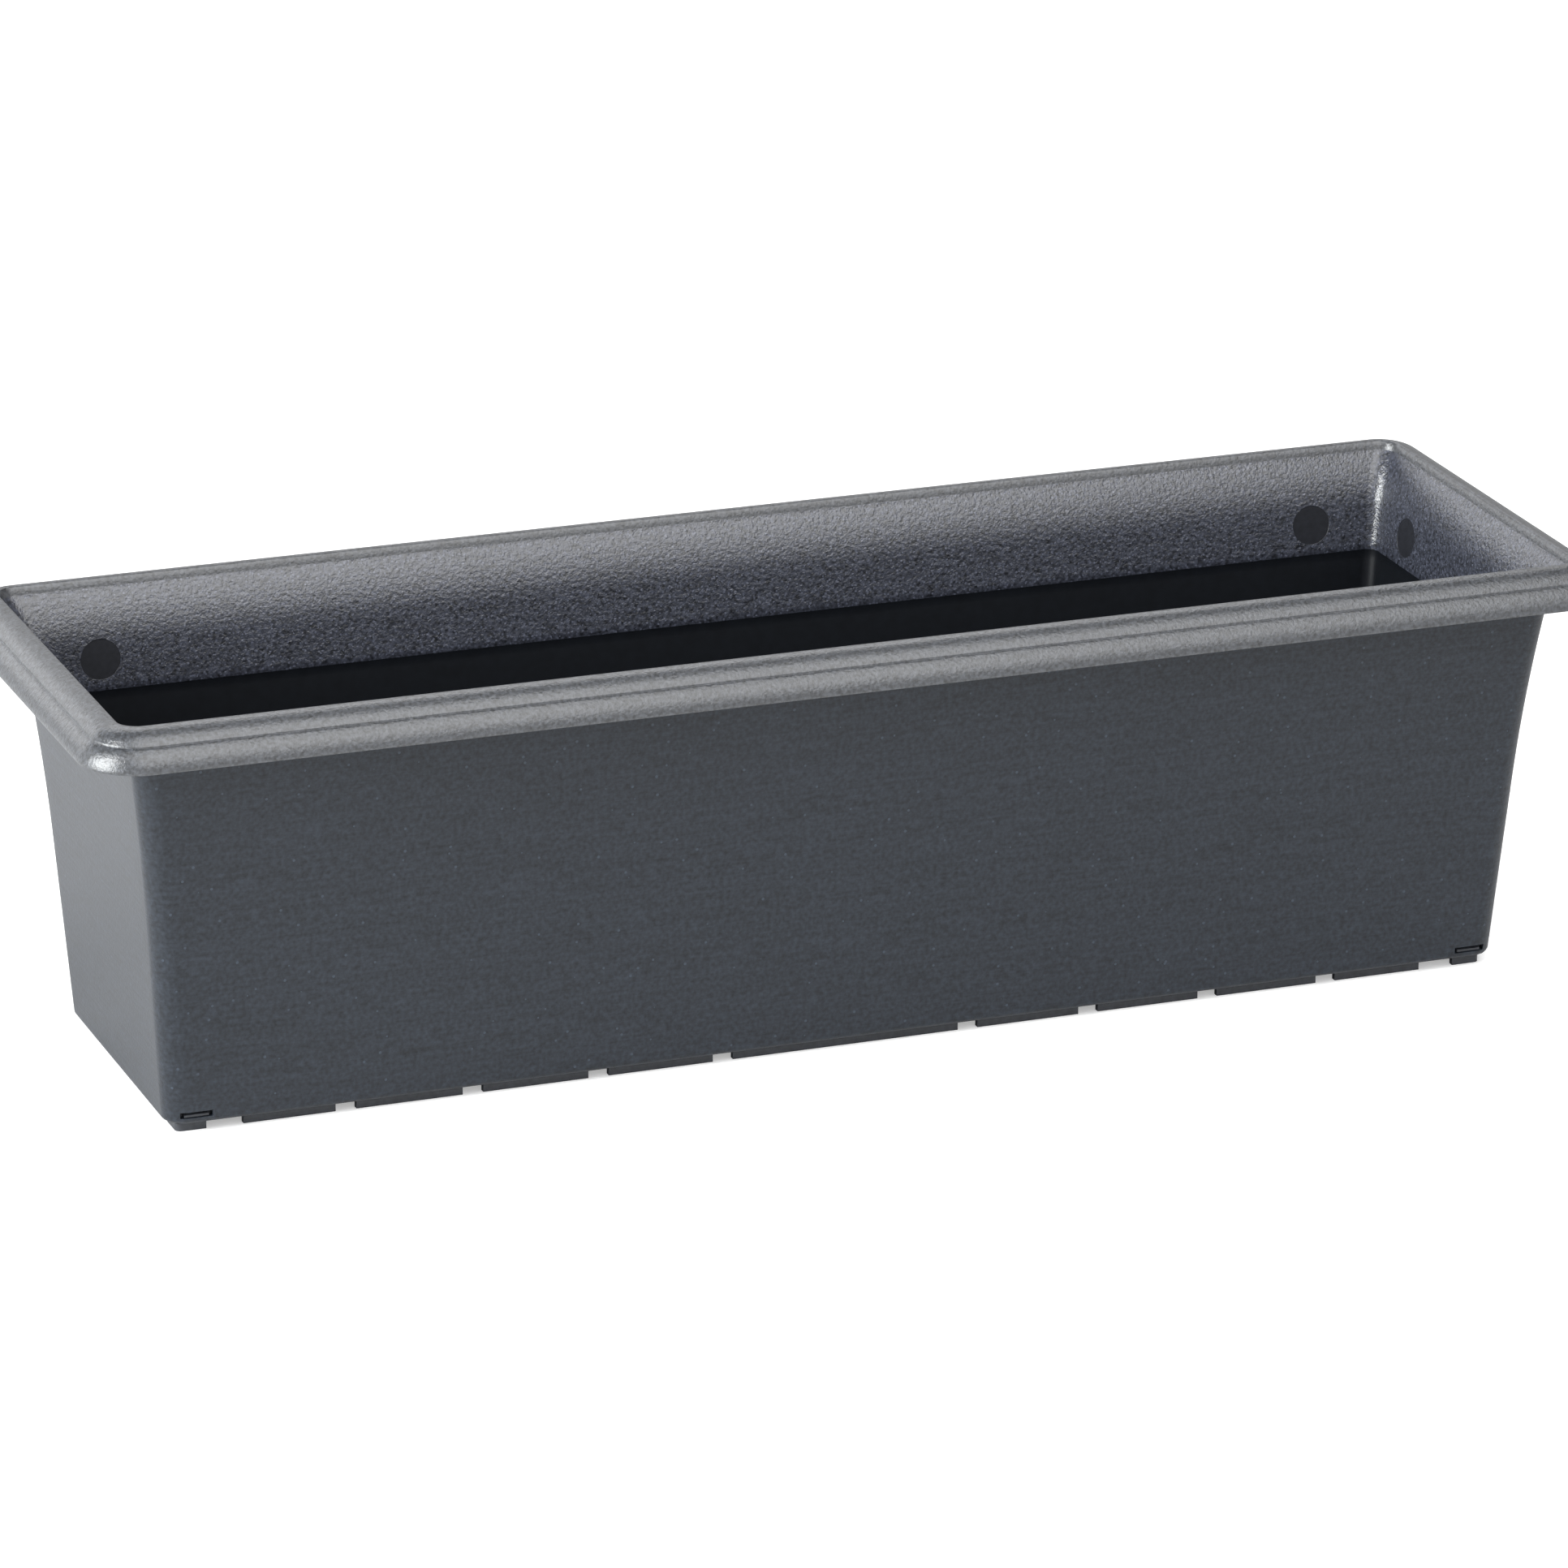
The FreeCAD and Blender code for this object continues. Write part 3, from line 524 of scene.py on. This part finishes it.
def plastic(name, look):
    # dark moulded plastic: pebbled grain, faint streaks along the piece, mottling, and pale dots in the
    # colour: rare pale specks on the outer wall, painted glints of light on the coarse grain
    material, nodes, links, shader = newMaterial(name, look["color"], look["roughness"])
    shader.inputs["Specular IOR Level"].default_value = look["specular"]
    place = addNode(nodes, "ShaderNodeTexCoord").outputs["Object"]

    def noise(vector, scale, detail, roughness):
        texture = addNode(nodes, "ShaderNodeTexNoise", Scale=scale, Detail=detail, Roughness=roughness)
        links.new(vector, texture.inputs["Vector"])
        return texture.outputs["Fac"]

    def bumped(height, strength, depth, under=None):
        bump = addNode(nodes, "ShaderNodeBump", Strength=strength, Distance=depth)
        links.new(height, bump.inputs["Height"])
        if under:
            links.new(under, bump.inputs["Normal"])
        return bump.outputs["Normal"]

    def combined(operation, first, second):
        node = addNode(nodes, "ShaderNodeMath", operation=operation)
        for socket, value in zip(node.inputs, (first, second)):
            if isinstance(value, (int, float)):
                socket.default_value = value
            else:
                links.new(value, socket)
        return node.outputs["Value"]

    def shaded(level):
        return (*[channel * level for channel in look["color"]], 1)

    grain = noise(place, 1 / look["grainSize"], detail=2.0, roughness=0.6)
    normal = bumped(grain, look["grainStrength"], look["grainDepth"])
    shade = noise(place, 1 / look["mottleSize"], detail=2.0, roughness=0.5)
    if look.get("streakWidth"):
        stretch = addNode(nodes, "ShaderNodeMapping")
        along, across = 1 / look["streakLength"], 1 / look["streakWidth"]
        stretch.inputs["Scale"].default_value = (along, along, across)
        links.new(place, stretch.inputs["Vector"])
        streak = noise(stretch.outputs["Vector"], 1.0, detail=3.0, roughness=0.6)
        normal = bumped(streak, look["streakStrength"], look["streakDepth"], normal)
        share = look["streakShade"]
        shade = combined("ADD", combined("MULTIPLY", shade, 1 - share),
                         combined("MULTIPLY", streak, share))
    links.new(normal, shader.inputs["Normal"])
    ramp = addNode(nodes, "ShaderNodeValToRGB")
    stops = ramp.color_ramp.elements
    stops[0].position, stops[1].position = 0.3, 0.7   # the noise seldom leaves this span
    stops[0].color, stops[1].color = shaded(1 - look["mottle"]), shaded(1 + look["mottle"])
    links.new(shade, ramp.inputs["Fac"])
    color = ramp.outputs["Color"]
    # pale dots painted into the base colour: specks of the plastic on the outer wall, and on the coarse
    # grain painted glints, a painted highlight
    if look.get("speckAndGlintSpacing"):
        dots = addNode(nodes, "ShaderNodeTexVoronoi", Scale=1 / look["speckAndGlintSpacing"])
        links.new(place, dots.inputs["Vector"])
        reach = look["speckAndGlintRadius"] / look["speckAndGlintSpacing"]
        mix = addNode(nodes, "ShaderNodeMix", data_type="RGBA")
        links.new(combined("LESS_THAN", dots.outputs["Distance"], reach), mix.inputs["Factor"])
        links.new(color, mix.inputs["A"])
        mix.inputs["B"].default_value = shaded(look["speckAndGlintLevel"])
        color = mix.outputs["Result"]
    links.new(color, shader.inputs["Base Color"])
    return material


# metres; mottle is the share by which the colour swings either way
# one look per zone of the box, in the order of the zones; the tray wears the first one too
plasticLooks = {
    "traySatin": {
        "color": (0.030, 0.033, 0.040), "roughness": 0.42, "specular": 0.5,
        "grainSize": 0.0009, "grainStrength": 0.4, "grainDepth": 0.00006,
        "mottleSize": 0.002, "mottle": 0.20,
    },
    "wallSatin": {
        "color": (0.014, 0.018, 0.025), "roughness": 0.38, "specular": 0.37,
        "grainSize": 0.0010, "grainStrength": 0.7, "grainDepth": 0.00010,
        "mottleSize": 0.0016, "mottle": 0.60,
        "streakLength": 0.030, "streakWidth": 0.0013,
        "streakStrength": 0.8, "streakDepth": 0.00014, "streakShade": 0.30,
        "speckAndGlintSpacing": 0.0060, "speckAndGlintRadius": 0.00055, "speckAndGlintLevel": 2.4,
    },
    "lipGrain": {
        "color": (0.034, 0.037, 0.043), "roughness": 0.36, "specular": 1.0,
        "grainSize": 0.0011, "grainStrength": 1.0, "grainDepth": 0.00018,
        "mottleSize": 0.0014, "mottle": 0.70,
    },
    "coarseGrain": {
        "color": (0.030, 0.033, 0.045), "roughness": 0.30, "specular": 1.0,
        "grainSize": 0.0014, "grainStrength": 1.0, "grainDepth": 0.00034,
        "mottleSize": 0.0015, "mottle": 0.75,
        # these pale dots are painted glints of light on the grain
        "speckAndGlintSpacing": 0.0017, "speckAndGlintRadius": 0.00045, "speckAndGlintLevel": 2.4,
    },
    "smoothInside": {
        "color": (0.004, 0.005, 0.007), "roughness": 0.45, "specular": 0.22,
        "grainSize": 0.0010, "grainStrength": 0.3, "grainDepth": 0.00003,
        "mottleSize": 0.004, "mottle": 0.15,
    },
    "padSatin": {
        "color": (0.012, 0.013, 0.017), "roughness": 0.42, "specular": 0.40,
        "grainSize": 0.0010, "grainStrength": 0.3, "grainDepth": 0.00003,
        "mottleSize": 0.002, "mottle": 0.20,
    },
}
finishes = {name: plastic(name, look) for name, look in plasticLooks.items()}
for finish in finishes.values():
    planterBox.data.materials.append(finish)
for node in ("base_tray", "snap_lugs"):
    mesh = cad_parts[node].data
    mesh.materials.clear()
    mesh.materials.append(finishes["traySatin"])
print("plastics applied")


# studio

studio = {
    "skyLevel": 0.10,        # world strength overhead
    "horizonLevel": 0.9,     # and near the horizon, where a pale backdrop stands
    "horizonRise": 0.10,     # the sine of the height where the backdrop starts to dim
    "skyRise": 0.55,         # and where it has reached the sky's level
    "floorColor": (0.82, 0.82, 0.82),
    "floorLift": 0.40,       # what the camera sees the floor brighter by
    "farLift": 1.0,
    "fadeFrom": 1.0,         # metres from the middle, where the lift starts to grow
    "fadeTo": 3.0,
    "floorHalf": 30.0,
    "aim": (0, 0, 0.10),
    # name, place, size, watts, colour
    "lamps": [
        ("keySoftbox", (0.3, -1.25, 2.6), (3.0, 1.8), 62, (1.0, 1.0, 1.0)),
        ("lowKeySoftbox", (0.3, -2.3, 1.75), (3.0, 1.1), 32, (1.0, 1.0, 1.0)),
        ("leftSoftbox", (-2.3, -0.2, 0.75), (1.5, 1.1), 80, (0.97, 1.0, 1.0)),
        ("highLeftSoftbox", (-1.7, -0.44, 1.35), (0.5, 0.5), 16, (1.0, 1.0, 1.0)),
        ("backLeftSoftbox", (-1.2, 2.6, 0.9), (1.5, 1.0), 10, (1.0, 1.0, 1.0)),
        ("backSoftbox", (0.3, 2.2, 2.3), (3.0, 1.2), 40, (1.0, 1.0, 1.0)),
    ],
}


def putAt(name, data, matrix):
    # puts a lamp or the camera into the scene
    holder = bpy.data.objects.new(name, data)
    holder.matrix_world = matrix
    bpy.context.scene.collection.objects.link(holder)
    return holder


def areaLamp(name, spot, size, watts, color):
    lamp = bpy.data.lights.new(name, "AREA")
    lamp.shape = "RECTANGLE"
    lamp.size, lamp.size_y = size
    lamp.energy = watts
    lamp.color = color
    turn = (Vector(studio["aim"]) - Vector(spot)).to_track_quat("-Z", "Y").to_matrix()
    putAt(name, lamp, Matrix.Translation(spot) @ turn.to_4x4())


def smoothRange(nodes, links, value, fromSpan, toSpan):
    # a smooth step from one level to another while the value crosses a span
    spans = zip(("From Min", "From Max", "To Min", "To Max"), (*fromSpan, *toSpan))
    node = addNode(nodes, "ShaderNodeMapRange", interpolation_type="SMOOTHSTEP", **dict(spans))
    links.new(value, node.inputs["Value"])
    return node.outputs["Result"]


for entry in studio["lamps"]:
    areaLamp(*entry)

world = bpy.data.worlds.new("paleStudio")
world.use_nodes = True
nodes, links = world.node_tree.nodes, world.node_tree.links
background = nodes["Background"]
background.inputs["Color"].default_value = (1, 1, 1, 1)
height = addNode(nodes, "ShaderNodeSeparateXYZ")
links.new(addNode(nodes, "ShaderNodeTexCoord").outputs["Generated"], height.inputs["Vector"])
level = smoothRange(nodes, links, height.outputs["Z"], (studio["horizonRise"], studio["skyRise"]),
                    (studio["horizonLevel"], studio["skyLevel"]))
seen = addNode(nodes, "ShaderNodeMath", operation="MAXIMUM")   # the camera sees plain white
links.new(level, seen.inputs[0])
links.new(addNode(nodes, "ShaderNodeLightPath").outputs["Is Camera Ray"], seen.inputs[1])
links.new(seen.outputs["Value"], background.inputs["Strength"])
bpy.context.scene.world = world

half = studio["floorHalf"]
corners = [(-half, -half, 0), (half, -half, 0), (half, half, 0), (-half, half, 0)]
floorMesh = bpy.data.meshes.new("studioFloor")
floorMesh.from_pydata(corners, [], [(0, 1, 2, 3)])
studioFloor = bpy.data.objects.new("studioFloor", floorMesh)
bpy.context.scene.collection.objects.link(studioFloor)
floorMaterial, nodes, links, shader = newMaterial("paleFloor", studio["floorColor"], 0.9)
shader.inputs["Specular IOR Level"].default_value = 0.0
shader.inputs["Emission Color"].default_value = (1, 1, 1, 1)
# the lift grows away from the middle, so that the floor ends in plain white
fromMiddle = addNode(nodes, "ShaderNodeVectorMath", operation="LENGTH")
links.new(addNode(nodes, "ShaderNodeTexCoord").outputs["Object"], fromMiddle.inputs["Vector"])
fade = smoothRange(nodes, links, fromMiddle.outputs["Value"], (studio["fadeFrom"], studio["fadeTo"]),
                   (studio["floorLift"], studio["farLift"]))
lift = addNode(nodes, "ShaderNodeMath", operation="MULTIPLY")
links.new(addNode(nodes, "ShaderNodeLightPath").outputs["Is Camera Ray"], lift.inputs[0])
links.new(fade, lift.inputs[1])
links.new(lift.outputs["Value"], shader.inputs["Emission Strength"])
# seen from below the floor is clear, so that the underside can be looked at
fromBelow = addNode(nodes, "ShaderNodeNewGeometry").outputs["Backfacing"]
clearBelow = addNode(nodes, "ShaderNodeMixShader")
links.new(fromBelow, clearBelow.inputs[0])
links.new(shader.outputs["BSDF"], clearBelow.inputs[1])
links.new(addNode(nodes, "ShaderNodeBsdfTransparent").outputs["BSDF"], clearBelow.inputs[2])
links.new(clearBelow.outputs["Shader"], nodes["Material Output"].inputs["Surface"])
floorMesh.materials.append(floorMaterial)
print("studio set")


# camera

view = {
    "place": (-1.05155, -2.7714, 1.11527),
    "yaw": math.radians(20.734),
    "pitch": math.radians(19.191),
    "roll": math.radians(0.284),
    "focalPixels": 10236.09,
    "photoPixels": 1932,
}
camera = bpy.data.cameras.new("camera")
camera.sensor_width = 36.0
camera.lens = view["focalPixels"] * camera.sensor_width / view["photoPixels"]
camera.clip_end = 200.0
yaw, pitch, roll = view["yaw"], view["pitch"], view["roll"]
right = Vector((math.cos(yaw), -math.sin(yaw), 0))
ahead = Vector((math.sin(yaw) * math.cos(pitch), math.cos(yaw) * math.cos(pitch), -math.sin(pitch)))
up = right.cross(ahead)
rolledRight = right * math.cos(roll) + up * math.sin(roll)
rolledUp = up * math.cos(roll) - right * math.sin(roll)
turn = Matrix((rolledRight, rolledUp, -ahead)).transposed()
bpy.context.scene.camera = putAt("camera", camera, Matrix.Translation(view["place"]) @ turn.to_4x4())
bpy.context.scene.view_settings.view_transform = "Standard"
print("camera placed")
